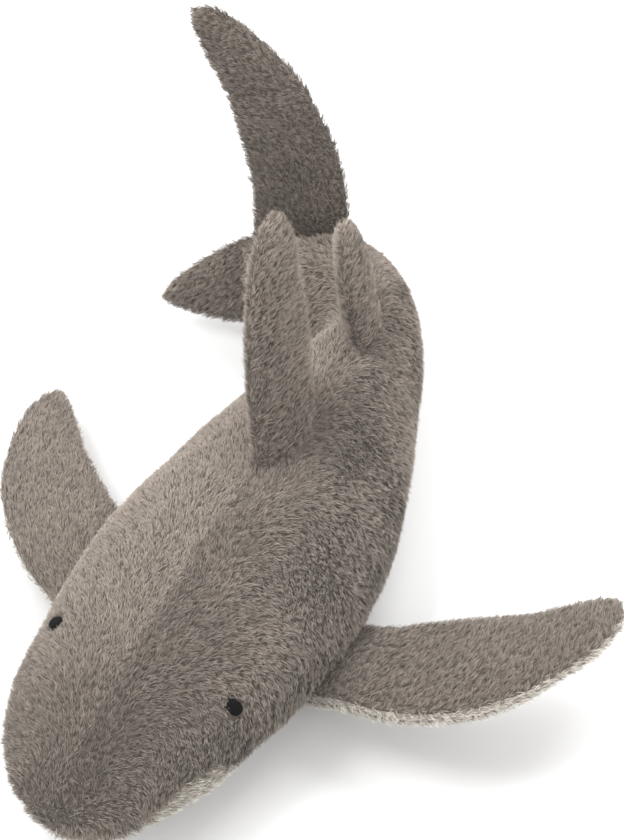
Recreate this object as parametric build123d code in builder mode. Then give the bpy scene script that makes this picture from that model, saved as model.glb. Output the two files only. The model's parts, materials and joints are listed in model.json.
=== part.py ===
"""Plush shark, 600 mm long, lying on its belly with its tail bent to its right.

Millimetres, +Z up, the head points along -Y and +X is the shark's left. The origin is the bottom
centre of the whole toy. Every stuffed portion is a sewn skin of fabric panels and seams round a
separate core of stuffing, and every portion that flexes on the real toy is a body of its own.
"""
from build123d import *
from math import cos, pi, radians, sin, sqrt
import os

os.makedirs("parts", exist_ok=True)

# ---- driving dimensions -------------------------------------------------------------------------
AXIS_X = -8.4            # the trunk's centre line
NOSE_Y = -247.4         # tip of the snout
SKIN = 4.0               # fabric with its pile pressed down
SEAM = 1.6               # width of a sewn seam
FLEX_GAP = 0.8           # clear space where two stuffed portions flex against each other
SIDE_SEAM_Z = 34.0       # height of the seam between the grey back and the white belly
REACH = 700.0            # longer than the toy, for cutting tools

# the bending spine: distance from the snout, half width and heading after each flex line
FLEX_S = (370.0, 440.0, 505.0)
FLEX_R = (56.0, 39.0, 31.0)
HEADING = (0.0, 22.0, 70.0, 107.0)
# the most each flex line bends to the shark's right and left of straight, degrees
FLEX_RIGHT = (42.0, 66.0, 60.0)
FLEX_LEFT = (20.0, 10.0, 20.0)
FLEX_SPARE = 3.0         # degrees left open past each limit

# body sections: distance from the snout, half width, top, bottom
TRUNK = (
    (0.0, 6.0, 44.0, 32.0),
    (4.0, 24.0, 54.0, 19.0),
    (14.0, 43.0, 66.0, 8.0),
    (32.0, 58.0, 78.0, 1.0),
    (62.0, 69.0, 92.0, -3.0),
    (105.0, 79.0, 101.0, -4.0),
    (150.0, 86.0, 106.0, -4.0),
    (200.0, 88.0, 109.0, -4.0),
    (250.0, 84.0, 107.0, -4.0),
    (300.0, 74.0, 104.0, -4.0),
    (352.0, 61.0, 103.0, -4.0),
)
REAR = (
    (312.0, 71.0, 103.0, -4.0),
    (340.0, 64.0, 103.0, -4.0),
    (370.0, 56.0, 102.0, -3.0),
    (405.0, 47.0, 99.0, -1.0),
    (436.0, 40.0, 95.0, 3.0),
)
STOCK = (
    (400.0, 47.0, 98.0, 1.0),
    (420.0, 43.0, 96.0, 3.0),
    (440.0, 39.0, 94.0, 6.0),
    (470.0, 34.0, 90.0, 14.0),
    (502.0, 31.0, 86.0, 22.0),
)
ROOT = (
    (473.0, 33.0, 88.0, 17.0),
    (490.0, 32.0, 87.0, 20.0),
    (505.0, 29.0, 86.0, 23.0),
    (525.0, 20.0, 84.0, 28.0),
    (545.0, 12.0, 80.0, 34.0),
)

# fins: half chord, half thickness, length, heading at the root and at the tip (0 points straight out
# of the body, positive sweeps back)
FIN_STEPS = (0.0, 0.05, 0.15, 0.3, 0.5, 0.7, 0.85, 0.95, 1.0)
CAP_STEPS = (0.95, 0.7, 0.4)
SMALL_FIN = 80.0                 # a fin shorter than this needs only a few sections
SMALL_FIN_STEPS = (0.0, 0.3, 0.7, 1.0)
SMALL_CAP_STEPS = (0.9, 0.5)
FIN_TAPER = 0.45
FIN_THINNING = 0.3
TIP_BLUNTNESS = 6
PECTORAL = dict(chord=37.0, thick=13.0, length=172.0)
LEFT_SWEEP = (13.0, 54.0)
RIGHT_SWEEP = (24.0, 64.0)
LEFT_RISE, RIGHT_RISE = 12.0, -5.0
LEFT_ROOT_Z, RIGHT_ROOT_Z = 38.0, 32.0
PECTORAL_Y, PECTORAL_X = 184.0, 100.5
DORSAL = dict(chord=31.0, thick=12.0, length=126.0)
DORSAL_SWEEP = (18.0, 34.0)
DORSAL_Y, DORSAL_Z, DORSAL_LEAN = 286.0, 118.5, 17.0
SECOND_DORSAL = dict(chord=22.0, thick=10.0, length=58.0)
SECOND_DORSAL_SWEEP = (22.0, 40.0)
SECOND_DORSAL_BACK, SECOND_DORSAL_Z, SECOND_DORSAL_LEAN = 32.0, 111.0, 16.0
UPPER_LOBE = dict(chord=33.0, thick=12.0, length=186.0)
UPPER_SWEEP = (0.0, 48.0)
LOWER_LOBE = dict(chord=29.0, thick=12.0, length=104.0)
LOWER_SWEEP = (116.0, 116.0)
LOBE_BACK, LOBE_Z, LOBE_LEAN = 12.0, 66.0, -20.0

# embroidered eyes
EYE_S, EYE_WIDTH, EYE_HEIGHT, EYE_PROUD = 104.0, 8.0, 10.0, 1.2
EYE_ANGLE = 37.0         # round the section, up from its widest line


# ---- the spine ----------------------------------------------------------------------------------
def turned(heading, along, across=0.0):
    """A horizontal vector: along the spine towards the tail, and across to the shark's left."""
    angle = radians(heading)
    return Vector(across * cos(angle) - along * sin(angle), across * sin(angle) + along * cos(angle), 0)


FLEX = [Vector(AXIS_X, NOSE_Y + FLEX_S[0], 0)]
for step in (1, 2):
    FLEX.append(FLEX[-1] + turned(HEADING[step], FLEX_S[step] - FLEX_S[step - 1]))


def spine_point(portion, s):
    """Where distance s falls on the straight spine of a portion: 0 trunk, 1 rear, 2 stock, 3 root."""
    if portion == 0:
        return Vector(AXIS_X, NOSE_Y + s, 0)
    return FLEX[portion - 1] + turned(HEADING[portion], s - FLEX_S[portion - 1])


def body_loft(portion, stations, inset=0.0):
    """One portion of the body, lofted through its sections; inset leaves room for the skin."""
    first, last = stations[0][0], stations[-1][0]
    with BuildPart() as lofted:
        for s, half_width, top, bottom in stations:
            if portion == 0:
                s += inset * (last - s) / (last - first)
                half_width = max(half_width, inset + 2)
            plane = Plane(
                origin=spine_point(portion, s),
                x_dir=turned(HEADING[portion], 0, 1),
                z_dir=turned(HEADING[portion], -1),
            )
            with BuildSketch(plane):
                with Locations((0, (top + bottom) / 2)):
                    Ellipse(half_width - inset, (top - bottom) / 2 - inset)
        loft()
    return lofted.part


# ---- flex lines ---------------------------------------------------------------------------------
def behind_flex(index, radius, right_limit, left_limit, heading):
    """Everything behind a vertical flex line: a round end, opened out to the given angles from the
    forward direction on the shark's right and left."""
    centre = FLEX[index]
    far = [centre]
    for angle in (-right_limit, -135, -180, 135, left_limit):
        far.append(centre + turned(heading, -REACH * cos(radians(angle)), REACH * sin(radians(angle))))
    with BuildPart() as region:
        with BuildSketch(Plane.XY.offset(-REACH / 2)):
            with BuildLine():
                Polyline(*[(point.X, point.Y) for point in far], close=True)
            make_face()
            with Locations((centre.X, centre.Y)):
                Circle(radius)
        extrude(amount=REACH)
    return region.part


def socket(index):
    """What the portion in front of a flex line gives up, so that the one behind it can swing."""
    right = 90 - (FLEX_RIGHT[index] + FLEX_SPARE) / 2
    left = 90 - (FLEX_LEFT[index] + FLEX_SPARE) / 2
    return behind_flex(index, FLEX_R[index] + FLEX_GAP, right, left, HEADING[index])


def knuckle(index):
    """The portion behind a flex line: a round front end, and flanks that give up the same angles."""
    right = 90 + (FLEX_RIGHT[index] + FLEX_SPARE) / 2
    left = 90 + (FLEX_LEFT[index] + FLEX_SPARE) / 2
    return behind_flex(index, FLEX_R[index], right, left, HEADING[index + 1])


def above_floor(part):
    """Only what stands on or above the floor, so that the belly is flat where it rests."""
    with BuildPart() as standing:
        add(part)
        split(bisect_by=Plane.XY, keep=Keep.TOP)
    return standing.part


def portion(index, stations, inset=0.0):
    """A stuffed portion of the body between its flex lines."""
    with BuildPart() as stuffed:
        add(body_loft(index, stations, inset))
        if index > 0:
            add(knuckle(index - 1), mode=Mode.INTERSECT)
        if index < len(FLEX):
            add(socket(index), mode=Mode.SUBTRACT)
    return stuffed.part


# ---- fins ---------------------------------------------------------------------------------------
def fin_sections(fin, sweep, inset):
    """Stations of a fin: (out, back, half chord, half thickness), from its rounded root to its tip."""
    length = fin["length"] - inset
    chord, thick = fin["chord"] - inset, fin["thick"] - inset
    small = fin["length"] < SMALL_FIN
    rows = []
    for step in SMALL_CAP_STEPS if small else CAP_STEPS:
        size = sqrt(1 - step ** 2)
        rows.append((-step * thick, 0, chord * size, thick * size))
    out, back, done = 0.0, 0.0, 0.0
    for step in SMALL_FIN_STEPS if small else FIN_STEPS:
        middle = radians(sweep[0] + (sweep[1] - sweep[0]) * (done + step) / 2)
        out += (step - done) * length * cos(middle)
        back += (step - done) * length * sin(middle)
        done = step
        blunt = sqrt(max(1 - step ** TIP_BLUNTNESS, 0.02))
        slant = cos(radians(sweep[1] * step))
        half_chord = chord * (1 - FIN_TAPER * step ** 1.5) * blunt / slant
        half_thick = thick * (1 - FIN_THINNING * step) * blunt
        rows.append((out, back, half_chord, half_thick))
    return rows


def fin_loft(frame, fin, sweep, inset=0.0):
    """A pillow-like fin. In its frame x runs out of the body, y towards the tail and z is its face."""
    out_dir, back_dir = frame.x_dir, frame.y_dir
    with BuildPart() as lofted:
        for out, back, half_chord, half_thick in fin_sections(fin, sweep, inset):
            centre = frame.origin + out_dir * out + back_dir * back
            with BuildSketch(Plane(origin=centre, x_dir=back_dir, z_dir=out_dir)):
                Ellipse(half_chord, half_thick)
        loft()
    return lofted.part


def lobe_loft(frame, lobe, sweep, inset=0.0):
    """A lobe of the tail fin: a fin whose root is turned with the lobe."""
    angle = radians(sweep[0])
    out_dir = frame.x_dir * cos(angle) + frame.y_dir * sin(angle)
    turned_frame = Plane(origin=frame.origin, x_dir=out_dir, z_dir=frame.z_dir)
    return fin_loft(turned_frame, lobe, (0.0, sweep[1] - sweep[0]), inset)


def pectoral_frame(side, root_z, rise):
    angle = radians(rise)
    out_dir = Vector(side * cos(angle), 0, sin(angle))
    face = out_dir.cross(Vector(0, 1, 0))
    origin = Vector(AXIS_X + side * PECTORAL_X, NOSE_Y + PECTORAL_Y, root_z)
    return Plane(origin=origin, x_dir=out_dir, z_dir=face)


def upright_frame(base, height, lean, heading):
    """A fin that stands on the back, its tip leaning to the shark's right."""
    angle = radians(lean)
    out_dir = Vector(0, 0, cos(angle)) - turned(heading, 0, sin(angle))
    face = out_dir.cross(turned(heading, 1))
    return Plane(origin=base + Vector(0, 0, height), x_dir=out_dir, z_dir=face)


# ---- sewing -------------------------------------------------------------------------------------
def within(part, *halves):
    """The part of a solid on the given sides of some planes, each (plane, which side)."""
    with BuildPart() as clipped:
        add(part)
        for plane, side in halves:
            split(bisect_by=plane, keep=side)
    return clipped.part


def save(part, name):
    part.label = name
    export_step(part, f"parts/{name}.step")


def sew_body(name, outer, core, seam_plane):
    """A body portion: two back panels, a belly panel, the back seam, the side seams, the stuffing."""
    with BuildPart() as skin:
        add(outer)
        add(core, mode=Mode.SUBTRACT)
    half = SEAM / 2
    left_edge, right_edge = seam_plane.offset(half), seam_plane.offset(-half)
    above, below = Plane.XY.offset(SIDE_SEAM_Z + half), Plane.XY.offset(SIDE_SEAM_Z - half)
    back = (above, Keep.TOP)
    save(within(skin.part, back, (left_edge, Keep.TOP)), f"{name}_back_panel_left")
    save(within(skin.part, back, (right_edge, Keep.BOTTOM)), f"{name}_back_panel_right")
    save(within(skin.part, back, (left_edge, Keep.BOTTOM), (right_edge, Keep.TOP)), f"{name}_back_seam")
    save(within(skin.part, (above, Keep.BOTTOM), (below, Keep.TOP)), f"{name}_side_seam")
    save(within(skin.part, (below, Keep.BOTTOM)), f"{name}_belly_panel")
    save(core, f"{name}_stuffing")


def sew_fin(name, outer, core, mid_plane, sides):
    """A fin: one panel on each face, the seam round its edge and its stuffing. A fin with no core is
    too small to stuff: its pile and seam allowances fill it."""
    with BuildPart() as skin:
        add(outer)
        if core:
            add(core, mode=Mode.SUBTRACT)
    face, back = mid_plane.offset(SEAM / 2), mid_plane.offset(-SEAM / 2)
    save(within(skin.part, (face, Keep.TOP)), f"{name}_{sides[0]}_panel")
    save(within(skin.part, (back, Keep.BOTTOM)), f"{name}_{sides[1]}_panel")
    save(within(skin.part, (face, Keep.BOTTOM), (back, Keep.TOP)), f"{name}_edge_seam")
    if core:
        save(core, f"{name}_stuffing")


# ---- body: trunk, rear and tail stock -----------------------------------------------------------
BODY = (("trunk", TRUNK), ("rear", REAR), ("tail_stock", STOCK))
trunk_outer = above_floor(portion(0, TRUNK))
for index, (name, stations) in enumerate(BODY):
    outer = trunk_outer if index == 0 else above_floor(portion(index, stations))
    core = within(portion(index, stations, SKIN), (Plane.XY.offset(SKIN), Keep.TOP))
    seam_plane = Plane(
        origin=spine_point(index, 0),
        x_dir=turned(HEADING[index], 1),
        z_dir=turned(HEADING[index], 0, 1),
    )
    sew_body(name, outer, core, seam_plane)

# ---- tail fin: its root is the end of the body, and one panel on each side covers both lobes ----
tail_frame = upright_frame(
    FLEX[2] + turned(HEADING[3], LOBE_BACK), LOBE_Z, LOBE_LEAN, HEADING[3]
)


def tail_fin(inset):
    with BuildPart() as tail:
        add(portion(3, ROOT, inset))
        add(lobe_loft(tail_frame, UPPER_LOBE, UPPER_SWEEP, inset))
        add(lobe_loft(tail_frame, LOWER_LOBE, LOWER_SWEEP, inset))
    return tail.part


sew_fin("tail_fin", tail_fin(0), tail_fin(SKIN), tail_frame, ("right", "left"))

# ---- pectoral and dorsal fins -------------------------------------------------------------------
second_base = spine_point(1, FLEX_S[0] + SECOND_DORSAL_BACK)
FINS = (
    ("pectoral_left", pectoral_frame(1, LEFT_ROOT_Z, LEFT_RISE), PECTORAL, LEFT_SWEEP, ("top", "under")),
    ("pectoral_right", pectoral_frame(-1, RIGHT_ROOT_Z, RIGHT_RISE), PECTORAL, RIGHT_SWEEP, ("under", "top")),
    (
        "dorsal_fin",
        upright_frame(Vector(AXIS_X, NOSE_Y + DORSAL_Y, 0), DORSAL_Z, DORSAL_LEAN, HEADING[0]),
        DORSAL,
        DORSAL_SWEEP,
        ("right", "left"),
    ),
    (
        "second_dorsal_fin",
        upright_frame(second_base, SECOND_DORSAL_Z, SECOND_DORSAL_LEAN, HEADING[1]),
        SECOND_DORSAL,
        SECOND_DORSAL_SWEEP,
        ("right", "left"),
    ),
)
for name, frame, fin, sweep, sides in FINS:
    core = None if fin is SECOND_DORSAL else fin_loft(frame, fin, sweep, SKIN)
    sew_fin(name, fin_loft(frame, fin, sweep), core, frame, sides)

# ---- embroidered eyes, stitched through the skin ------------------------------------------------
eye_half_width, eye_top, eye_bottom = next(station[1:] for station in TRUNK if station[0] >= EYE_S)
eye_half_height, eye_middle = (eye_top - eye_bottom) / 2, (eye_top + eye_bottom) / 2
for side, name in ((1, "eye_left"), (-1, "eye_right")):
    angle = radians(EYE_ANGLE)
    centre = Vector(
        AXIS_X + side * eye_half_width * cos(angle),
        NOSE_Y + EYE_S,
        eye_middle + eye_half_height * sin(angle),
    )
    outward = Vector(side * cos(angle) / eye_half_width, 0, sin(angle) / eye_half_height)
    with BuildPart() as eye:
        with BuildSketch(Plane(origin=centre, x_dir=(0, 1, 0), z_dir=outward)):
            Ellipse(EYE_WIDTH / 2, EYE_HEIGHT / 2)
        extrude(amount=EYE_PROUD, both=True)
        add(trunk_outer, mode=Mode.SUBTRACT)
    save(eye.part, name)
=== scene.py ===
"""Looks of the plush shark: sewn, stuffed skins with a deep pile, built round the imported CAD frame.

Metres, in the frame's own axes. Every stuffed portion is a skin, and a pile of real strands grows
on each of its fabric panels. The trunk's skin is closed. The others are open at their front or root
end, and the opening is hidden inside the body.
"""

import json
import math

import bpy
import numpy as np
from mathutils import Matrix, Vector, noise


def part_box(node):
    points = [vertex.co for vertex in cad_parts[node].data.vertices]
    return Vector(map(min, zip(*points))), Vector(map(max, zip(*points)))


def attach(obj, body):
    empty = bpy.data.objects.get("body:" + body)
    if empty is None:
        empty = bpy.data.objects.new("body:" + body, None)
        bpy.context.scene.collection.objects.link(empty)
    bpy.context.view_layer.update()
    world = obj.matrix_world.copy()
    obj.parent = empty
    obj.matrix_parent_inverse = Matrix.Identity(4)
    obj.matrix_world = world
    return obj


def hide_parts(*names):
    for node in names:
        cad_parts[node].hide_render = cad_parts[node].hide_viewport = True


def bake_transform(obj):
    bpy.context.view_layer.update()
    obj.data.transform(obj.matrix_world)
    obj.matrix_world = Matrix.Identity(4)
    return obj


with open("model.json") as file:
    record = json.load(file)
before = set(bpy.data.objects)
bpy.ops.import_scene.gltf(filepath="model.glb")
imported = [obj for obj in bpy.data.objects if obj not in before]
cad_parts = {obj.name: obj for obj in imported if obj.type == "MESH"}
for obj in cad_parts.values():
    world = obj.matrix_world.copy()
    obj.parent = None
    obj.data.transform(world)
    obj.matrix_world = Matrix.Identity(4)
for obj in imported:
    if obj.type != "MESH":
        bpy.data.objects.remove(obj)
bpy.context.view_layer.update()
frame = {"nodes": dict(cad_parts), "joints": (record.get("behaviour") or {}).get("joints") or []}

MM = 0.001
PIVOT = {joint["name"]: np.array(joint["pos_m"]) for joint in frame["joints"]}
AXIS_X = PIVOT["rear_bend"][0]
REAR_S = 370 * MM                # where the first flex line crosses the body, from the snout
NOSE_Y = PIVOT["rear_bend"][1] - REAR_S
SEED = 11

# the bend of the body: straight, then one round arc towards the shark's right
BEND_START, BEND_RADIUS, BEND_TURN = 384 * MM, 68.5 * MM, math.radians(104)

# body sections, mm: distance from the snout, half width, top, bottom
SECTIONS = np.array((
    (0, 0, 37, 37),
    (4, 21, 54, 26),
    (14, 39, 66, 23),
    (32, 54, 78, 18),
    (62, 68, 92, 8),
    (105, 77, 101, 0),
    (150, 85, 106, -4),
    (200, 88, 109, -4),
    (250, 83, 108, -4),
    (300, 71, 105, -4),
    (352, 55, 103, -4),
    (370, 47, 102, -3),
    (405, 36, 99, -1),
    (440, 37, 95, 6),
    (470, 42, 95, 12),
    (505, 36, 92, 21),
    (525, 21, 84, 28),
    (545, 10, 78, 36),
))
# how far the ridge of the back lies to the shark's right of the axis, mm
RIDGE_SHIFT = np.array(((0, 0), (60, 0), (150, 5), (230, 9), (380, 8), (440, 0), (545, 0)))
# how far the body lies to the shark's left of its axis, mm
SWAY = np.array(((0, -4), (60, -3), (110, -1), (200, 2), (300, 3), (370, 0), (545, 0)))
# height of the seam between the grey back and the white belly, mm
SIDE_SEAM = np.array((
    (0, 37), (14, 44), (32, 53), (65, 60), (80, 53), (95, 42), (115, 30), (140, 22), (400, 24),
    (470, 30), (545, 42),
))
SKIN_INSET = 2.5 * MM            # the fabric lies this far under the pressed pile of the CAD skin
PEAK, TUCK = 0.10, 0.20          # how much the back narrows upwards and the belly downwards
FLOOR_SOFTNESS = 5 * MM
STRAND_FLOOR = 0.5 * MM


# ---- small tools --------------------------------------------------------------------------------
def smoothstep(t):
    t = np.clip(t, 0, 1)
    return t * t * (3 - 2 * t)


def through(table, column, at):
    """A smooth curve through one column of a table, against the square root of its first column."""
    x, y = np.sqrt(table[:, 0]), table[:, column].astype(float)
    slope = np.gradient(y, x)
    q = np.sqrt(np.clip(at, table[0, 0], table[-1, 0]))
    i = np.clip(np.searchsorted(x, q, side="right") - 1, 0, len(x) - 2)
    step = x[i + 1] - x[i]
    t = (q - x[i]) / step
    return (
        y[i] * (1 + 2 * t) * (1 - t) ** 2
        + y[i + 1] * (3 - 2 * t) * t**2
        + slope[i] * step * t * (1 - t) ** 2
        - slope[i + 1] * step * t**2 * (1 - t)
    )


def unit(v):
    return v / np.maximum(np.linalg.norm(v, axis=-1, keepdims=True), 1e-12)


def spine(s):
    """The body's centre line at floor level and its heading, at distances s from the snout."""
    turn = np.clip((s - BEND_START) / BEND_RADIUS, 0, BEND_TURN)
    rest = s - BEND_START - BEND_RADIUS * turn
    x = AXIS_X - BEND_RADIUS * (1 - np.cos(turn)) - np.sin(turn) * rest
    y = NOSE_Y + BEND_START + BEND_RADIUS * np.sin(turn) + np.cos(turn) * rest
    return np.stack([x, y, np.zeros_like(x)], -1), turn


def body_points(s, angle):
    """Points of the body's skin. Angle goes round the section: 0 at the shark's left, 90 at the top."""
    mm = s / MM
    half = np.maximum(through(SECTIONS, 1, mm) * MM - SKIN_INSET, 0)
    top = through(SECTIONS, 2, mm) * MM - SKIN_INSET
    bottom = through(SECTIONS, 3, mm) * MM + SKIN_INSET
    middle = (top + bottom) / 2
    rise = np.maximum(top - middle, 0)
    up, out = np.sin(angle), np.cos(angle)
    narrow = 1 - np.where(up > 0, PEAK, TUCK) * up**2
    across = half * out * narrow + through(SWAY, 1, mm) * MM
    across = across - through(RIDGE_SHIFT, 1, mm) * MM * np.maximum(up, 0) ** 2
    height = middle + rise * up
    height = (height + np.sqrt(height**2 + FLOOR_SOFTNESS**2)) / 2
    centre, turn = spine(s)
    left = np.stack([np.cos(turn), np.sin(turn), np.zeros_like(turn)], -1)
    points = centre + left * across[..., None]
    points[..., 2] += height
    return points


def seam_angle(s):
    """The angle of the side seam below the widest line, on the shark's left."""
    mm = s / MM
    top, bottom = through(SECTIONS, 2, mm), through(SECTIONS, 3, mm)
    down = (through(SIDE_SEAM, 1, mm) - (top + bottom) / 2) / np.maximum((top - bottom) / 2, 1)
    return np.arcsin(np.clip(down, -0.75, 0.5))


def grid_normals(points):
    """Unit normals and tangents of a grid of points, rows running along the piece."""
    along = np.gradient(points, axis=0)
    across = np.gradient(points, axis=1)
    return unit(np.cross(along, across)), unit(along), unit(across)


def dimple(points, normals, amount, size, seed):
    """Gentle hollows and swells, as loose stuffing gives."""
    flat = points.reshape(-1, 3) / size + seed * 7.3
    depth = np.array([noise.noise(Vector(p)) for p in flat]).reshape(points.shape[:-1])
    return points + normals * (depth * amount)[..., None]


# ---- meshes -------------------------------------------------------------------------------------
def mesh_object(name, vertices, triangles, material_index=None, smooth=True):
    mesh = bpy.data.meshes.new(name)
    mesh.vertices.add(len(vertices))
    mesh.vertices.foreach_set("co", vertices.astype(np.float32).ravel())
    mesh.loops.add(len(triangles) * 3)
    mesh.loops.foreach_set("vertex_index", triangles.astype(np.int32).ravel())
    mesh.polygons.add(len(triangles))
    mesh.polygons.foreach_set("loop_start", np.arange(0, len(triangles) * 3, 3, dtype=np.int32))
    if material_index is not None:
        mesh.polygons.foreach_set("material_index", material_index.astype(np.int32))
    mesh.update(calc_edges=True)
    if smooth:
        mesh.polygons.foreach_set("use_smooth", np.ones(len(triangles), bool))
    piece = bpy.data.objects.new(name, mesh)
    bpy.context.scene.collection.objects.link(piece)
    return piece


def grid_triangles(rows, columns, first=0):
    """Triangles of a grid of vertices stored row by row."""
    i, j = np.meshgrid(np.arange(rows - 1), np.arange(columns - 1), indexing="ij")
    a = (first + i * columns + j).ravel()
    quads = np.stack([a, a + columns, a + columns + 1, a + 1], -1)
    return np.concatenate([quads[:, [0, 1, 2]], quads[:, [0, 2, 3]]])


def field(points, size, seed):
    """A smooth random field from -1 to 1 over a grid of points."""
    flat = points.reshape(-1, 3) / size + seed * 5.1
    return np.array([noise.noise(Vector(p)) for p in flat]).reshape(points.shape[:-1])


# ---- materials ----------------------------------------------------------------------------------
def new_material(name):
    material = bpy.data.materials.new(name)
    material.use_nodes = True
    nodes, links = material.node_tree.nodes, material.node_tree.links
    return material, nodes, links, nodes["Principled BSDF"]


def ramp(nodes, stops):
    made = nodes.new("ShaderNodeValToRGB")
    while len(made.color_ramp.elements) < len(stops):
        made.color_ramp.elements.new(0.5)
    for element, (at, colour) in zip(made.color_ramp.elements, stops):
        element.position = at
        element.color = (*colour, 1)
    return made


def pile_material(name, root, middle, tip):
    """Plush pile. The map's v runs from root to tip of a strand, and its u is the strand's own shade."""
    material, nodes, links, surface = new_material(name)
    strand = nodes.new("ShaderNodeUVMap")
    strand.uv_map = "OFBake"
    parts = nodes.new("ShaderNodeSeparateXYZ")
    links.new(strand.outputs["UV"], parts.inputs["Vector"])
    # painted shade: each strand darkens towards its root, painted shade deep in the pile
    along = ramp(nodes, ((0.0, root), (0.45, middle), (1.0, tip)))
    links.new(parts.outputs["Y"], along.inputs["Fac"])
    shade = nodes.new("ShaderNodeMapRange")
    shade.inputs["To Min"].default_value = 0.55
    shade.inputs["To Max"].default_value = 1.45
    links.new(parts.outputs["X"], shade.inputs["Value"])
    mix = nodes.new("ShaderNodeVectorMath")
    mix.operation = "MULTIPLY"
    links.new(along.outputs["Color"], mix.inputs[0])
    links.new(shade.outputs["Result"], mix.inputs[1])
    links.new(mix.outputs["Vector"], surface.inputs["Base Color"])
    surface.inputs["Roughness"].default_value = 0.85
    surface.inputs["Specular IOR Level"].default_value = 0.25
    surface.inputs["Sheen Weight"].default_value = 0.25
    surface.inputs["Sheen Roughness"].default_value = 0.45
    return material


def cloth_material(name, dark, light):
    """Knitted backing under the pile."""
    material, nodes, links, surface = new_material(name)
    place = nodes.new("ShaderNodeTexCoord")
    grain = nodes.new("ShaderNodeTexNoise")
    grain.inputs["Scale"].default_value = 420
    grain.inputs["Detail"].default_value = 5
    links.new(place.outputs["Object"], grain.inputs["Vector"])
    colours = ramp(nodes, ((0.3, dark), (0.7, light)))
    links.new(grain.outputs["Fac"], colours.inputs["Fac"])
    links.new(colours.outputs["Color"], surface.inputs["Base Color"])
    bump = nodes.new("ShaderNodeBump")
    bump.inputs["Strength"].default_value = 0.6
    bump.inputs["Distance"].default_value = 1 * MM
    links.new(grain.outputs["Fac"], bump.inputs["Height"])
    links.new(bump.outputs["Normal"], surface.inputs["Normal"])
    surface.inputs["Roughness"].default_value = 0.95
    return material


def thread_material(name, dark, light):
    """Glossy embroidery thread, with the colour of each stitch a little different."""
    material, nodes, links, surface = new_material(name)
    place = nodes.new("ShaderNodeTexCoord")
    grain = nodes.new("ShaderNodeTexNoise")
    grain.inputs["Scale"].default_value = 900
    links.new(place.outputs["Object"], grain.inputs["Vector"])
    colours = ramp(nodes, ((0.35, dark), (0.75, light)))
    links.new(grain.outputs["Fac"], colours.inputs["Fac"])
    links.new(colours.outputs["Color"], surface.inputs["Base Color"])
    surface.inputs["Roughness"].default_value = 0.6
    surface.inputs["Specular IOR Level"].default_value = 0.12
    return material


# painted shade: the root colours of both piles are painted dark, as shade deep in the pile
GREY_PILE = pile_material("grey_pile", (0.09, 0.075, 0.062), (0.235, 0.20, 0.17), (0.415, 0.366, 0.32))
WHITE_PILE = pile_material("white_pile", (0.36, 0.33, 0.29), (0.5, 0.465, 0.415), (0.74, 0.70, 0.64))
# painted shade: both backings are painted dark, as shade under the pile
GREY_CLOTH = cloth_material("grey_backing", (0.09, 0.075, 0.062), (0.15, 0.127, 0.108))
WHITE_CLOTH = cloth_material("white_backing", (0.22, 0.20, 0.17), (0.34, 0.31, 0.27))
EYE_THREAD = thread_material("eye_thread", (0.002, 0.002, 0.002), (0.009, 0.009, 0.01))


# ---- panels and their pile ----------------------------------------------------------------------
def panel(points, lay, length=8.0, lift=30.0, shade=0.5, clump=0.6, weight=1.0):
    """A fabric panel: a grid of points, and how its pile grows at each of them.

    Lay is the direction that the pile points, in radians from the rows' direction towards the
    columns', length is in mm, lift is in degrees off the fabric, and shade runs from 0, dark, to 1.
    """
    normals, along, across = grid_normals(points)
    shape = points.shape[:2]
    grown = {"lay": lay, "length": length * MM, "lift": np.radians(lift), "shade": shade}
    grown |= {"clump": clump, "weight": weight}
    fields = {key: np.broadcast_to(value, shape).astype(float) for key, value in grown.items()}
    return {"points": points, "normals": normals, "along": along, "across": across, **fields}


def scattered(points, count, rng):
    """Evenly scattered places on a grid of points: their cells, and where they are in each cell."""
    a = points[1:, :-1] - points[:-1, :-1]
    b = points[:-1, 1:] - points[:-1, :-1]
    area = np.linalg.norm(np.cross(a, b), axis=-1) + 1e-12
    rows = np.concatenate([[0], np.cumsum(area.sum(1))]) / area.sum()
    k = np.arange(1, count + 1)
    first = (k * 0.7548776662 + rng.uniform(-0.4, 0.4, count) / math.sqrt(count)) % 1
    second = (k * 0.5698402910 + rng.uniform(-0.4, 0.4, count) / math.sqrt(count)) % 1
    i = np.clip(np.searchsorted(rows, first, side="right") - 1, 0, len(area) - 1)
    fa = (first - rows[i]) / (rows[i + 1] - rows[i])
    columns = np.cumsum(area, axis=1) / area.sum(1, keepdims=True)
    flat = (columns + np.arange(len(area))[:, None]).ravel()
    cell = np.clip(np.searchsorted(flat, i + second), i * area.shape[1], (i + 1) * area.shape[1] - 1)
    j = cell - i * area.shape[1]
    return i, j, np.clip(fa, 0, 1), rng.uniform(0, 1, count)


def panel_area(points):
    a = points[1:, :-1] - points[:-1, :-1]
    b = points[:-1, 1:] - points[:-1, :-1]
    return np.linalg.norm(np.cross(a, b), axis=-1).sum()


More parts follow.
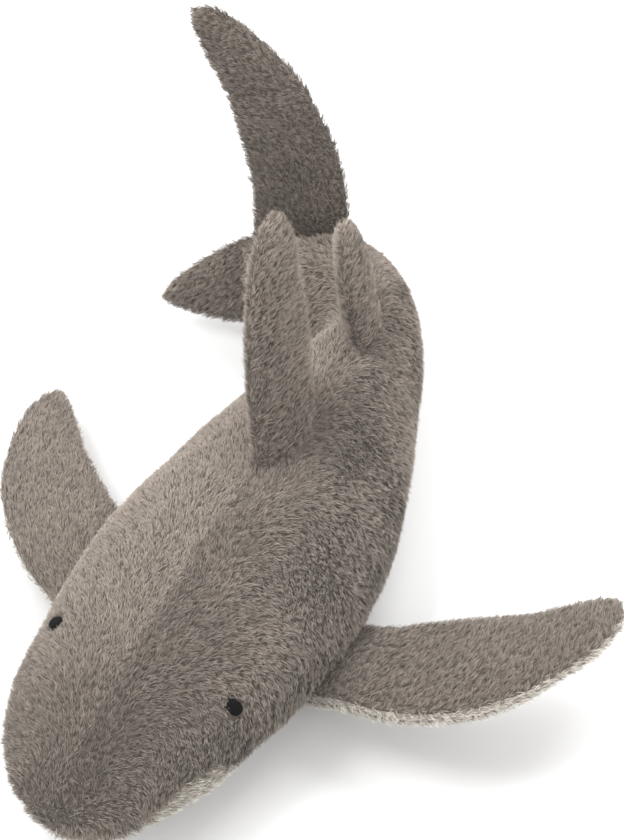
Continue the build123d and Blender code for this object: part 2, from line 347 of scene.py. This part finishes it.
def strands_of(patch, spacing, per_tuft, width, rng):
    """Vertices, triangles, map and weights of the strands of one panel: flat, pointed, and gathered
    into tufts."""
    count = max(int(panel_area(patch["points"]) / spacing**2), 1)
    i, j, fa, fb = scattered(patch["points"], count, rng)

    def at(key):
        grid = patch[key]
        u, v = (fa, fb) if grid.ndim == 2 else (fa[:, None], fb[:, None])
        low = grid[i, j] * (1 - v) + grid[i, j + 1] * v
        high = grid[i + 1, j] * (1 - v) + grid[i + 1, j + 1] * v
        return low * (1 - u) + high * u

    root, normal = at("points"), unit(at("normals"))
    along = at("along")
    along = unit(along - normal * (along * normal).sum(-1, keepdims=True))
    across = np.cross(normal, along)
    lay = at("lay") + rng.normal(0, 0.3, count)
    ahead = along * np.cos(lay)[:, None] + across * np.sin(lay)[:, None]
    aside = np.cross(normal, ahead)
    length = at("length") * rng.uniform(0.8, 1.15, count)
    lift = at("lift") * rng.uniform(0.75, 1.3, count)
    shade = at("shade") + rng.normal(0, 0.12, count)
    clump, weight = at("clump"), at("weight")

    size = (count, per_tuft)
    x, y = rng.normal(0, 0.6 * spacing, size), rng.normal(0, 0.55 * spacing, size)
    swing, tilt = rng.normal(0, 0.22, size), lift[:, None] + rng.normal(0, 0.12, size)
    reach = length[:, None] * rng.uniform(0.75, 1.1, size)
    roll = rng.normal(0, 0.6, size)

    def spread(v):
        return v[:, None, :]

    direction = spread(ahead) * np.cos(swing)[..., None] + spread(aside) * np.sin(swing)[..., None]
    sideways = np.cross(spread(normal), direction)
    foot = spread(root) + spread(ahead) * x[..., None] + spread(aside) * y[..., None]
    foot = foot - spread(normal) * (0.8 * MM)
    gathered = 1 - clump[:, None]
    end = spread(root) + spread(ahead) * (x * gathered)[..., None]
    end = end + spread(aside) * (y * gathered)[..., None]
    rise = (reach * np.sin(tilt))[..., None] * spread(normal)
    end = end + direction * (reach * np.cos(tilt))[..., None] + rise
    knee = foot * 0.5 + end * 0.5 + spread(normal) * (reach * 0.14)[..., None]
    flat = sideways * np.cos(roll)[..., None] + spread(normal) * np.sin(roll)[..., None]
    half = flat * (width / 2)
    rings = np.stack([foot - half, foot + half, knee - half * 0.9, knee + half * 0.9, end], 2)
    vertices = rings.reshape(-1, 3)
    vertices[:, 2] = np.maximum(vertices[:, 2], STRAND_FLOOR)

    first = np.arange(count * per_tuft)[:, None] * 5
    triangles = (first[:, None, :] + np.array([[0, 1, 3], [0, 3, 2], [2, 3, 4]])[None]).reshape(-1, 3)
    u = np.clip(shade[:, None] + rng.normal(0, 0.1, size), 0.03, 0.97).ravel()[:, None]
    corner_u = u + np.array([-0.012, 0.012, -0.012, 0.012, 0.0])[None]
    corner_v = np.broadcast_to(np.array([0.02, 0.02, 0.5, 0.5, 0.98]), corner_u.shape)
    maps = np.stack([corner_u.ravel(), corner_v.ravel()], -1)
    weights = np.repeat(weight, per_tuft * 5)
    return vertices, triangles, maps, weights


def grow(name, patches, material, spacing=2.2 * MM, per_tuft=7, width=0.45 * MM, bare=()):
    """The pile of one panel or more, as one piece. Bare is (centre, radius) of places with no pile."""
    rng = np.random.default_rng([SEED, *name.encode()])
    made = [strands_of(patch, spacing, per_tuft, width, rng) for patch in patches]
    offsets = np.cumsum([0] + [len(m[0]) for m in made[:-1]])
    vertices = np.concatenate([m[0] for m in made])
    triangles = np.concatenate([m[1] + offset for m, offset in zip(made, offsets)])
    maps = np.concatenate([m[2] for m in made])
    weights = np.concatenate([m[3] for m in made])
    for centre, radius in bare:
        strand = triangles[:, 0] // 5
        feet = vertices[strand * 5]
        triangles = triangles[np.linalg.norm(feet - centre, axis=-1) > radius]
    piece = mesh_object(name, vertices, triangles, smooth=False)
    layer = piece.data.uv_layers.new(name="OFBake")
    layer.data.foreach_set("uv", maps[triangles.ravel()].astype(np.float32).ravel())
    piece.data.materials.append(material)
    return piece, weights


def skin(name, grids, white=()):
    """A skin from grids of points whose columns go all the way round. The last row is capped and the
    first is not. It is grey but for the columns that are named as white."""
    vertices, triangles, indices = [], [], []
    first = 0
    for points in grids:
        rows, columns = points.shape[:2]
        faces = grid_triangles(rows, columns, first)
        side = np.isin((faces.min(1) - first) % columns, white).astype(int)
        centre = points[-1, :-1].mean(0)
        ring = first + (rows - 1) * columns + np.arange(columns - 1)
        hub = first + rows * columns
        cap = np.stack([np.full(columns - 1, hub), ring + 1, ring], -1)
        vertices += [points.reshape(-1, 3), centre[None]]
        triangles += [faces, cap]
        indices += [side, np.zeros(len(cap), int)]
        first = hub + 1
    piece = mesh_object(name, np.concatenate(vertices), np.concatenate(triangles), np.concatenate(indices))
    for material in (GREY_CLOTH, WHITE_CLOTH):
        piece.data.materials.append(material)
    return piece


def bend(piece, weights, body, next_body, joint):
    """Bakes the piece's placing into its mesh; it does not bend the piece at the joint."""
    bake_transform(piece)


# ---- body ---------------------------------------------------------------------------------------
FRONT_END, MIDDLE_END, BODY_END = 404 * MM, 472 * MM, 544 * MM
ROW = 4 * MM
snout_rows = (np.linspace(0, math.sqrt(60 * MM), 18) ** 2)[:-1]
stations = np.concatenate([snout_rows, np.arange(60 * MM, BODY_END + ROW / 2, ROW)])
BACK_COLUMNS, BELLY_COLUMNS = 30, 26

low_left = seam_angle(stations)[:, None]
up_left = np.linspace(0, 1, BACK_COLUMNS + 1)[None]
left_angles = low_left + (math.pi / 2 - low_left) * up_left
right_angles = math.pi - left_angles[:, ::-1]
round_belly = np.linspace(0, 1, BELLY_COLUMNS + 1)[None]
belly_angles = math.pi - low_left + (math.pi + 2 * low_left) * round_belly
angles = np.concatenate([left_angles, right_angles[:, 1:], belly_angles[:, 1:]], 1)
along_body = np.broadcast_to(stations[:, None], angles.shape)
body = body_points(along_body, angles)
body = dimple(body, grid_normals(body)[0], 2.4 * MM, 55 * MM, 1)
body = dimple(body, grid_normals(body)[0], 0.9 * MM, 22 * MM, 2)
body[:, -1] = body[:, 0]
body[..., 2] = np.maximum(body[..., 2], STRAND_FLOOR)

LEFT = slice(0, BACK_COLUMNS + 1)
RIGHT = slice(BACK_COLUMNS, 2 * BACK_COLUMNS + 1)
BELLY = slice(2 * BACK_COLUMNS, None)
swirl = field(body, 38 * MM, 3)
patchy = field(body, 26 * MM, 4)
broad = field(body, 90 * MM, 5)
curls = field(body, 11 * MM, 9)

# the pile of the back panels: its lay away from the ridge, in radians from tailwards (positive is
# towards the ridge on the left panel and away from it on the right), its length in mm and its shade
RIGHT_LAY, RIGHT_LENGTH, RIGHT_SHADE = 0.85, 5.2, 0.5
LEFT_LAY, LEFT_LENGTH, LEFT_SHADE = -2.35, 5.4, 0.5
BELLY_LENGTH, BELLY_SPACING = 5.5, 3.0 * MM

# the portions: name, first and last distance, the joint that they cross and where they bend
PORTIONS = (
    ("trunk", 0, FRONT_END, "rear_bend", ("trunk", "rear"), 345 * MM, 400 * MM),
    ("rear", FRONT_END, MIDDLE_END, "tail_bend", ("rear", "tail_stock"), 408 * MM, 468 * MM),
    ("tail_stock", MIDDLE_END, BODY_END, "tail_fin_bend", ("tail_stock", "tail_fin"), 476 * MM, 526 * MM),
)


def body_weights(s, start, end):
    return smoothstep((s - start) / (end - start))


def place_eye(name):
    """The spot on the skin next to the CAD eye, and the way that the skin faces there."""
    low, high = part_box(name)
    eye = np.array((low + high) / 2)
    apart = np.linalg.norm(body - eye, axis=-1)
    nearest = np.unravel_index(apart.argmin(), apart.shape)
    outward = grid_normals(body)[0][nearest]
    return eye - outward * ((eye - body[nearest]) @ outward), outward


EYES = {name: place_eye(name) for name in ("eye_left", "eye_right")}
EYE_BARE = 6.5 * MM

for name, s_from, s_to, joint, bodies, start, end in PORTIONS:
    rows = (stations > s_from - ROW / 2) & (stations < s_to + ROW / 2)
    points = body[rows]
    s = along_body[rows]
    weight = body_weights(s, start, end)
    cover = skin(f"{name}_skin", [points], range(2 * BACK_COLUMNS, points.shape[1]))
    bend(cover, np.append(weight.ravel(), weight[-1, 0]), *bodies, joint)
    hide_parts(f"{name}_stuffing", f"{name}_back_seam", f"{name}_side_seam")

    # the pile swirls more on the snout and lies smoother along the right of the back; its colour is
    # painted lighter towards the tail and darker on the head, painted light and shade along the body
    snout = 1 + 1.2 * smoothstep((50 * MM - s) / (40 * MM))
    turn, spots, wide = (swirl[rows] + 0.8 * curls[rows]) * snout, patchy[rows], broad[rows]
    smooth_back = smoothstep((s - 60 * MM) / (60 * MM)) * smoothstep((400 * MM - s) / (60 * MM))
    from_ridge = np.linspace(0, 1, BACK_COLUMNS + 1)[None]
    painted_light_along = 0.18 * smoothstep((s - 250 * MM) / (150 * MM)) - 0.1 * smoothstep((150 * MM - s) / (100 * MM))
    # next to the ridge: painted light on the right, painted shade on the left; the right's pile lies
    # brushed, the left's ruffled
    parting = 0.35 + 0.5 * smoothstep((200 * MM - s[:, :1]) / (100 * MM))
    off_right, off_left = smoothstep(from_ridge / parting), smoothstep(from_ridge[:, ::-1] / parting)
    ridge_painted_light = 0.09 * (1 - smoothstep((from_ridge - 0.15) / 0.35))
    ridge_painted_shade = 0.10 * (1 - smoothstep((from_ridge[:, ::-1] - 0.2) / 0.3))
    right = panel(
        points[:, RIGHT],
        lay=RIGHT_LAY * off_right + 0.55 * turn[:, RIGHT],
        length=RIGHT_LENGTH,
        lift=31 - 8 * smooth_back[:, RIGHT] + 8 * spots[:, RIGHT],
        # painted light: the smooth right of the back and the right side of the ridge are painted lighter
        shade=RIGHT_SHADE + 0.11 * smooth_back[:, RIGHT] + 0.10 * wide[:, RIGHT] + 0.12 * spots[:, RIGHT]
        + painted_light_along[:, RIGHT] + ridge_painted_light,
        clump=0.45 - 0.2 * smooth_back[:, RIGHT] + 0.2 * spots[:, RIGHT],
        weight=weight[:, RIGHT],
    )
    left = panel(
        points[:, LEFT],
        lay=LEFT_LAY * off_left + 0.8 * turn[:, LEFT],
        length=LEFT_LENGTH,
        lift=34 + 14 * spots[:, LEFT],
        # painted shade: the left panel is painted darker towards its side seam and next to the ridge
        shade=LEFT_SHADE - 0.03 * off_left + 0.16 * wide[:, LEFT] + 0.2 * spots[:, LEFT]
        + painted_light_along[:, LEFT] - ridge_painted_shade,
        clump=0.42 + 0.2 * spots[:, LEFT],
        weight=weight[:, LEFT],
    )
    belly = panel(
        points[:, BELLY],
        lay=0.6 * turn[:, BELLY],
        length=BELLY_LENGTH,
        lift=28 + 8 * spots[:, BELLY],
        shade=0.5 + 0.1 * spots[:, BELLY],
        weight=weight[:, BELLY],
    )
    bare = [(centre, EYE_BARE) for centre, _ in EYES.values()] if name == "trunk" else []
    for side, patch in (("left", left), ("right", right)):
        fur, weights = grow(f"{name}_pile_{side}", [patch], GREY_PILE, bare=bare)
        bend(fur, weights, *bodies, joint)
        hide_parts(f"{name}_back_panel_{side}")
    fur, weights = grow(f"{name}_pile_belly", [belly], WHITE_PILE, spacing=BELLY_SPACING)
    bend(fur, weights, *bodies, joint)
    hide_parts(f"{name}_belly_panel")


# ---- fins ---------------------------------------------------------------------------------------
FACE_COLUMNS = 22
EDGE_SHARPNESS = 1.3             # 1 gives round edges, more gives the pinched edge of a sewn pillow


def fin_points(base, out_dir, back_dir, chord, thick, length, sweep, root, taper=0.45, belly=0.06):
    """A fin as a grid of points: rows from inside the body to the tip, columns from the leading edge
    over the face, round the trailing edge and back under. Sweep is the heading at root and tip."""
    face_dir = np.cross(out_dir, back_dir)
    t = np.concatenate([np.linspace(-root / length, 0, 8)[:-1], 1 - np.linspace(1, 0, 44) ** 1.6])
    heading = np.radians(sweep[0] + (sweep[1] - sweep[0]) * np.maximum(t, 0))
    step = np.diff(t, prepend=t[0]) * length
    middle = (heading + np.concatenate([heading[:1], heading[:-1]])) / 2
    out = np.cumsum(step * np.cos(middle)) - root * math.cos(heading[0])
    back = np.cumsum(step * np.sin(middle)) - root * math.sin(heading[0])
    grown = np.maximum(t, 0)
    blunt = np.sqrt(np.maximum(1 - grown**5, 0))
    swell = 1 + belly * np.sin(math.pi * np.clip(grown / 0.7, 0, 1))
    half = chord * (1 - taper * grown**1.5) * swell * blunt
    deep = thick * (1 - 0.3 * grown) * np.maximum(1 - grown**5, 0) ** 0.5
    turn = np.linspace(0, 2 * math.pi, 2 * FACE_COLUMNS + 1)
    y = -np.cos(turn)
    z = np.sign(np.sin(turn)) * np.abs(np.sin(turn)) ** EDGE_SHARPNESS
    ahead = np.cos(heading)[:, None] * back_dir - np.sin(heading)[:, None] * out_dir
    centre = base + out[:, None] * out_dir + back[:, None] * back_dir
    points = centre[:, None] + (half[:, None] * y)[..., None] * ahead[:, None]
    points = points + (deep[:, None] * z)[..., None] * face_dir
    points[:, -1] = points[:, 0]
    distance = np.broadcast_to((t * length)[:, None], points.shape[:2])
    return points, distance


def leaning(lean, heading):
    """Out and back directions of a fin that stands on the back, its tip leaning to the right."""
    lean, heading = math.radians(lean), math.radians(heading)
    right = np.array([-math.cos(heading), -math.sin(heading), 0])
    tailward = np.array([-math.sin(heading), math.cos(heading), 0])
    return np.array([0, 0, math.cos(lean)]) + right * math.sin(lean), tailward


def flat_fin(side, rise):
    rise = math.radians(rise)
    return np.array([side * math.cos(rise), 0, math.sin(rise)]), np.array([0.0, 1.0, 0.0])


def settle(points, amount, seed):
    points = dimple(points, grid_normals(points)[0], amount, 40 * MM, seed)
    points[:, -1] = points[:, 0]
    points[..., 2] = np.maximum(points[..., 2], STRAND_FLOOR)
    return points


FACE = list(range(FACE_COLUMNS + 1))
UNDER = list(range(FACE_COLUMNS, 2 * FACE_COLUMNS + 1))
WRAP = 3                         # columns of the under panel that show round the leading edge
TOP_LESS, UNDER_MORE = FACE[WRAP:], UNDER + FACE[1:WRAP + 1]
ROOT_IN, ROOT_OUT = -20 * MM, 8 * MM


def fin_weights(distance):
    return smoothstep((distance - ROOT_IN) / (ROOT_OUT - ROOT_IN))


def dress_fin(name, points, distance, sides, bodies, joint):
    """The skin of a fin and the pile of its panels. Sides: (panel name, columns, lay, length, lift,
    shade, clump, material, slot)."""
    weight = fin_weights(distance)
    white = [column for _, columns, *_, slot in sides if slot == "white_plush" for column in columns[:-1]]
    cover = skin(f"{name}_skin", [points], white)
    bend(cover, np.append(weight.ravel(), weight[-1, 0]), *bodies, joint)
    stuffing = [f"{name}_edge_seam"] + ([f"{name}_stuffing"] if f"{name}_stuffing" in frame["nodes"] else [])
    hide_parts(*stuffing)
    turn, spots = field(points, 30 * MM, 6) + 0.8 * field(points, 11 * MM, 9), field(points, 18 * MM, 7)
    for side, columns, lay, length, lift, shade, clump, material, slot in sides:
        patch = panel(
            points[:, columns],
            lay=lay + 0.4 * turn[:, columns],
            length=length,
            lift=lift + 8 * spots[:, columns],
            shade=shade + 0.12 * spots[:, columns],
            clump=clump,
            weight=weight[:, columns],
        )
        fur, weights = grow(f"{name}_pile_{side}", [patch], material)
        bend(fur, weights, *bodies, joint)
        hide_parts(f"{name}_{side}_panel")


GREY = (GREY_PILE, "grey_plush")
WHITE = (WHITE_PILE, "white_plush")

out_dir, back_dir = flat_fin(1, 12)
points, distance = fin_points(
    PIVOT["pectoral_left_flap"] + 6 * MM * back_dir,
    out_dir, back_dir, 32 * MM, 11 * MM, 171 * MM, (8, 70), 28 * MM, taper=0.22, belly=0.26,
)
dress_fin(
    "pectoral_left", settle(points, 1.6 * MM, 8), distance,
    (
        ("top", TOP_LESS, 0.5, 5.2, 30, 0.53, 0.45, *GREY),
        ("under", UNDER_MORE, -0.3, 5, 30, 0.6, 0.4, *WHITE),
    ),
    ("trunk", "pectoral_left"), "pectoral_left_flap",
)
out_dir, back_dir = flat_fin(-1, -5)
points, distance = fin_points(
    PIVOT["pectoral_right_flap"] + 9 * MM * np.array([1, 0, 0]),
    out_dir, back_dir, 35 * MM, 11 * MM, 158 * MM, (26, 74), 26 * MM,
)
dress_fin(
    "pectoral_right", settle(points, 1.6 * MM, 9), distance,
    (("under", FACE, 0.3, 5, 30, 0.6, 0.4, *WHITE), ("top", UNDER, -0.5, 5, 22, 0.6, 0.25, *GREY)),
    ("trunk", "pectoral_right"), "pectoral_right_flap",
)
out_dir, back_dir = leaning(17, 0)
points, distance = fin_points(
    PIVOT["dorsal_fin_flop"] - 8 * MM * np.array([1, 0, 0]),
    out_dir, back_dir, 31 * MM, 10 * MM, 127 * MM, (18, 30), 24 * MM, taper=0.2,
)
# painted light: the dorsal fin's pile is painted lighter than the back, as a fin catching the light
dress_fin(
    "dorsal_fin", settle(points, 1.2 * MM, 10), distance,
    (("right", FACE, 0.4, 5.5, 34, 0.84, 0.5, *GREY), ("left", UNDER, -0.4, 5.5, 34, 0.84, 0.5, *GREY)),
    ("trunk", "dorsal_fin"), "dorsal_fin_flop",
)
out_dir, back_dir = leaning(16, 22)
points, distance = fin_points(
    PIVOT["second_dorsal_fin_flop"],
    out_dir, back_dir, 26 * MM, 9 * MM, 55 * MM, (20, 36), 20 * MM, taper=0.15,
)
# painted light: the second dorsal fin's pile is painted lighter than the back, as a fin catching the light
dress_fin(
    "second_dorsal_fin", settle(points, 0.8 * MM, 11), distance,
    (("right", FACE, 0.4, 5.2, 34, 0.86, 0.5, *GREY), ("left", UNDER, -0.4, 5.2, 34, 0.86, 0.5, *GREY)),
    ("rear", "second_dorsal_fin"), "second_dorsal_fin_flop",
)

# the tail fin: two lobes on the end of the body
TAIL_HEADING, TAIL_LEAN = 107, -20
TAIL_ASIDE, TAIL_HEIGHT, LOWER_DROP = 4 * MM, 69 * MM, 17 * MM
lobe_out, lobe_back = leaning(TAIL_LEAN, TAIL_HEADING)
tail_left = np.cross(lobe_back, [0, 0, 1])
tail_base = PIVOT["tail_fin_bend"] + tail_left * TAIL_ASIDE
tail_base[2] = TAIL_HEIGHT
LOWER_TURN = math.radians(109)
lower_out = lobe_out * math.cos(LOWER_TURN) + lobe_back * math.sin(LOWER_TURN)
lower_back = lobe_back * math.cos(LOWER_TURN) - lobe_out * math.sin(LOWER_TURN)
upper, _ = fin_points(
    tail_base, lobe_out, lobe_back, 31 * MM, 10 * MM, 190 * MM, (-1, 56), 12 * MM, taper=0.4
)
lower, _ = fin_points(
    tail_base - LOWER_DROP * lobe_out,
    lower_out, lower_back, 33 * MM, 10 * MM, 97 * MM, (0, 0), 12 * MM, taper=0.6,
)
upper, lower = settle(upper, 1.6 * MM, 12), settle(lower, 1.2 * MM, 13)
cover = skin("tail_fin_skin", [upper, lower])
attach(cover, "tail_fin")
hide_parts("tail_fin_stuffing", "tail_fin_edge_seam")
for side, columns, lay in (("right", FACE, 0.35), ("left", UNDER, -0.35)):
    patches = [
        panel(
            lobe[:, columns],
            lay=lay + 0.45 * field(lobe, 28 * MM, 14)[:, columns],
            length=5.5,
            lift=34 + 8 * field(lobe, 18 * MM, 15)[:, columns],
            shade=0.58 + 0.2 * field(lobe, 24 * MM, 16)[:, columns],
        )
        for lobe in (upper, lower)
    ]
    fur, _ = grow(f"tail_fin_pile_{side}", patches, GREY_PILE)
    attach(fur, "tail_fin")
    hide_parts(f"tail_fin_{side}_panel")


# ---- eyes ---------------------------------------------------------------------------------------
def embroider(name):
    """An oval of satin stitch: rows of thread side by side, over a low dome."""
    centre, outward = EYES[name]
    tail = unit(np.cross(np.cross(outward, [0.0, 1.0, 0.0]), outward))
    upward = np.cross(tail, outward) * -1
    width, height, dome, stitches = 4.6 * MM, 5.8 * MM, 2.2 * MM, 11
    above_skin = 1.6 * MM
    rows, columns = 45, 61
    radius = np.sin(np.linspace(0, math.pi / 2, rows))[:, None]
    turn = np.linspace(0, 2 * math.pi, columns)[None]
    x, y = radius * np.cos(turn), radius * np.sin(turn)
    ridge = np.abs(np.sin((y + 0.25 * x) * stitches * math.pi / 2)) ** 0.6
    lift = dome * np.sqrt(np.maximum(1 - radius**2, 0)) + 0.35 * MM * ridge * (1 - radius**6)
    points = (
        centre
        + (x * width)[..., None] * tail
        + (y * height)[..., None] * upward
        + (lift + above_skin)[..., None] * outward
    )
    vertices = points.reshape(-1, 3)
    piece = mesh_object(name + "_stitches", vertices, grid_triangles(rows, columns))
    piece.data.materials.append(EYE_THREAD)
    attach(piece, "trunk")
    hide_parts(name)


embroider("eye_left")
embroider("eye_right")


# ---- floor, light and camera --------------------------------------------------------------------
def studio():
    bpy.ops.mesh.primitive_plane_add(size=8, location=(0, 0, 0))
    floor = bpy.context.object
    floor.name = "floor"
    material, nodes, links, surface = new_material("pale_floor")
    grain = nodes.new("ShaderNodeTexNoise")
    grain.inputs["Scale"].default_value = 3
    colours = ramp(nodes, ((0.0, (0.86, 0.86, 0.86)), (1.0, (0.9, 0.9, 0.9))))
    links.new(grain.outputs["Fac"], colours.inputs["Fac"])
    links.new(colours.outputs["Color"], surface.inputs["Base Color"])
    surface.inputs["Roughness"].default_value = 0.8
    floor.data.materials.append(material)

    world = bpy.data.worlds.new("studio")
    bpy.context.scene.world = world
    world.use_nodes = True
    world.node_tree.nodes["Background"].inputs["Color"].default_value = (1, 1, 1, 1)
    world.node_tree.nodes["Background"].inputs["Strength"].default_value = 0.9

    for name, place, size, power in (
        ("key", (-1.1, -0.3, 1.6), 1.0, 26),
        ("fill", (1.3, -1.2, 1.4), 1.6, 12),
        ("rim", (0.1, 1.4, 1.6), 1.2, 24),
    ):
        light = bpy.data.lights.new(name, "AREA")
        light.size, light.energy = size, power
        lamp = bpy.data.objects.new(name, light)
        bpy.context.scene.collection.objects.link(lamp)
        lamp.location = place
        lamp.rotation_euler = (Vector((0, 0, 0.05)) - Vector(place)).to_track_quat("-Z", "Y").to_euler()
    bpy.context.scene.view_settings.view_transform = "Standard"


def aim_camera():
    camera = bpy.data.objects.new("camera", bpy.data.cameras.new("camera"))
    bpy.context.scene.collection.objects.link(camera)
    azimuth, elevation, distance = math.radians(29.1), math.radians(51.9), 1.5
    target = Vector((AXIS_X, NOSE_Y + 230 * MM, 60 * MM))
    ahead = Vector((math.sin(azimuth), -math.cos(azimuth), math.tan(elevation))).normalized()
    camera.location = target + ahead * distance
    camera.rotation_euler = (-ahead).to_track_quat("-Z", "Y").to_euler()
    camera.data.lens = 102.2
    camera.data.shift_x, camera.data.shift_y = 0.075, 0.142
    bpy.context.scene.camera = camera


studio()
aim_camera()
